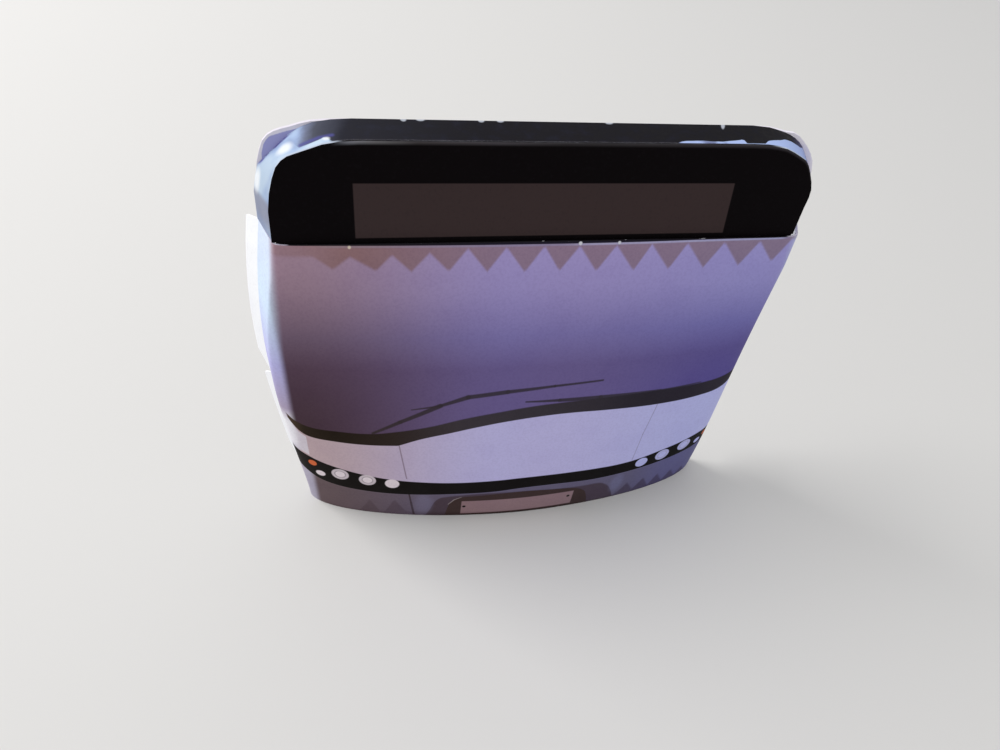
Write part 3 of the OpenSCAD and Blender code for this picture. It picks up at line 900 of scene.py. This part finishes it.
# %% [markdown]
# ## The strip over the header
#
# A strip of black card is folded over the panel's cut outline. Folding cracks the ink along the
# front edge, and on the left corner the black layer has come off, down to bare white paper. To
# let that wear follow the edge, the strip gets its own grid again, with a UV map of the distance
# along the fold and the depth behind it.

# %% Grid of the strip
COLUMN_STEP, DEEP_ROWS, STRIP_SPAN = 0.7, 8, 200
front_edge = [at_depth(place, STRIP_Y) for place in FRONT_EDGE]
rear_edge = [at_depth(place, BACK_Y) for place in REAR_EDGE]
lengths = [(b - a).length for a, b in zip(front_edge, front_edge[1:])]
steps = []
for index, length in enumerate(lengths):
    count = max(2, round(length / COLUMN_STEP))
    done = sum(lengths[:index])
    steps += [(index, k / count, done + length * k / count) for k in range(count)]
steps.append((len(lengths) - 1, 1.0, sum(lengths)))
print("length of the fold:", round(sum(lengths), 2), "mm, in", len(steps), "columns")

quiet()
bpy.ops.mesh.primitive_grid_add(x_subdivisions=len(steps) - 1, y_subdivisions=DEEP_ROWS, size=2)
strip = bpy.context.object
strip.name = "folded_strip"
fold_places = []
for vertex in strip.data.vertices:
    column = round((vertex.co.x + 1) / 2 * (len(steps) - 1))
    share = (vertex.co.y + 1) / 2
    index, part, length = steps[column]
    near = front_edge[index].lerp(front_edge[index + 1], part)
    far = rear_edge[index].lerp(rear_edge[index + 1], part)
    fold_places.append((length, share * (BACK_Y - STRIP_Y)))
    vertex.co = near.lerp(far, share) * MM
write_uv(strip, fold_places, STRIP_SPAN)
if strip.data.polygons[len(strip.data.polygons) // 2].normal.z < 0:
    strip.data.flip_normals()
# Slot 0 waits for the black ink, and slot 1 is the bare inside.
for slot in range(2):
    strip.data.materials.append(tab_card)
thicken(strip, rim_slot=PRINT_SLOT, sharp_angle=32)
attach(strip, "root")
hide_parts("header_strip")

# %% Black card of the strip
strip_card = Paper("strip_card")
along, deep = strip_card.uv_mm(STRIP_SPAN)
strip_card.start((0.0095, 0.0085, 0.0115))
scuffs = strip_card.noise(700, 3.0, 0.65)
fine = strip_card.noise(FIBRES)
strip_card.lay(scuffs.spread(0.45, 0.75, 0.0, 0.5), (0.020, 0.021, 0.036))
# Painted light: the strip is a little lighter toward its left end and darker toward its right end.
strip_card.lay(along.spread(11, 30, 0.4, 0.0), (0.036, 0.037, 0.052))
strip_card.lay(along.spread(30, 60, 0.0, 0.75), (0.62, 0.58, 0.58), "MULTIPLY")
print("strip nodes, before the wear:", len(strip_card.tree.nodes))

# %% Where the ink of the strip is cracked or peeled off
FOLD_RANGE, DEEP_RANGE = (0, 80), (0, 4)
BARE_DEPTH = [
    (0, 3.8), (4, 3.8), (9.6, 3.8, "VECTOR"), (10.6, 0.45, "VECTOR"), (12.4, 0.55), (13.3, 0.85, "VECTOR"),
    (13.7, 0.10, "VECTOR"), (30, 0.05), (49.2, 0.06, "VECTOR"), (49.5, 0.28), (51.5, 0.42), (53.2, 0.30),
    (55.2, 0.48), (56.5, 0.75, "VECTOR"), (56.8, 0.06, "VECTOR"), (59.1, 0.10, "VECTOR"), (59.5, 0.70),
    (60.9, 1.2), (62.4, 1.85), (64.3, 2.0), (66.5, 3.2), (68, 2.2), (80, 0.6)]
rough_edge = (scuffs - 0.5) * 1.6
bare_depth = drawn_edge(along, BARE_DEPTH, FOLD_RANGE, DEEP_RANGE)
cracked = (bare_depth - deep + rough_edge * 0.12).above(0.0, 0.16)
slanted = along - deep * 0.45
ragged = slanted + rough_edge * 0.5
bare = cracked.most(ragged.below(9.9, 1.2))
# This noise stands for glue smears on the bare paper; it is not the seam's painted shadow.
glue = strip_card.noise(330, 2.0, 0.5, stretch=(1, 1, 0.6))
white = strip_card.ramp(glue, [(0.30, (0.26, 0.33, 0.52)), (0.45, (0.38, 0.49, 0.70)),
                               (0.62, (0.54, 0.66, 0.80))])
faded = strip_card.ramp((ragged - 9.1) * (1 / 5.5), [
    (0.0, (0.50, 0.62, 0.82)), (0.14, (0.29, 0.37, 0.58)), (0.29, (0.16, 0.18, 0.27)),
    (0.45, (0.075, 0.08, 0.11)), (1.0, (0.020, 0.020, 0.030))])
dark_fold = abs(along - 31.6).below(17.9, 0.6)
strip_card.lay(slanted.below(14.4, 2.0), faded)
# Painted shade: a dark navy streak near the fold at the left corner.
navy_shade_streak = stroke(along, deep, (10.9, 0.75), (13.9, 0.95), 0.5, 0.4, 0.4)
strip_card.lay(navy_shade_streak * 0.85, (0.085, 0.085, 0.28))
strip_card.lay(bare * dark_fold.inverse(), white)
strip_card.lay(along.below(9.0, 4.0) * 0.22, (0.10, 0.13, 0.22))
strip_card.lay(bare * dark_fold, (0.045, 0.041, 0.052))
strip_card.lay(bare * along.above(49.1, 0.4), (0.40, 0.50, 0.82))
dull_patch = abs(along - 52.6).below(3.4, 0.6) * glue.spread(0.4, 0.55, 0.8, 0.0)
strip_card.lay(bare * dull_patch, (0.12, 0.13, 0.26))
print("strip nodes, with the wear:", len(strip_card.tree.nodes))

# %% Shades and spots of the strip, and its skin
strip_card.lay(along.above(64.5, 4.0) * 0.38, (0.20, 0.18, 0.50))
strip_card.lay(along.below(3.7, 0.8) * along.spread(0.2, 1.8, 0.35, 0.85), (0.25, 0.26, 0.34))
rear_shade = deep.above(3.05, 0.3) * abs(along - 8.5).below(1.9, 1.0) * scuffs.spread(0.35, 0.5)
strip_card.lay(rear_shade * 0.9, (0.11, 0.10, 0.32))
# Each spot: its middle, or its place along the rear edge, and its half-axes.
WHITE_SPOTS = (((9.4, 1.5), 0.9, 1.0), ((4.8, 2.9), 1.5, 0.8), ((13.3, 0.55), 0.4, 0.3))
REAR_SPOTS = ((20.97, 0.28, 0.35), (22.6, 0.4, 0.25), (28.5, 0.3, 0.3), (30.4, 0.35, 0.25),
              (41.6, 0.4, 0.25), (54.1, 0.22, 0.75))
for place, wide, high in WHITE_SPOTS:
    strip_card.lay(oval(along, deep, place, wide, high).below(0.8, 0.9) * 0.8, (0.84, 0.86, 0.88))
for across, wide, high in REAR_SPOTS:
    spot = oval(along, deep, (across, BACK_Y - STRIP_Y), wide, high)
    strip_card.lay(spot.below(1.0, 0.6) * 0.75, (0.55, 0.58, 0.66))
strip_card.finish(scuffs.spread(0.3, 0.7, 0.42, 0.60), fine, lift=0.03, strength=0.35, shine=0.05)
strip.data.materials[PRINT_SLOT] = strip_card.material
print("strip nodes:", len(strip_card.tree.nodes))
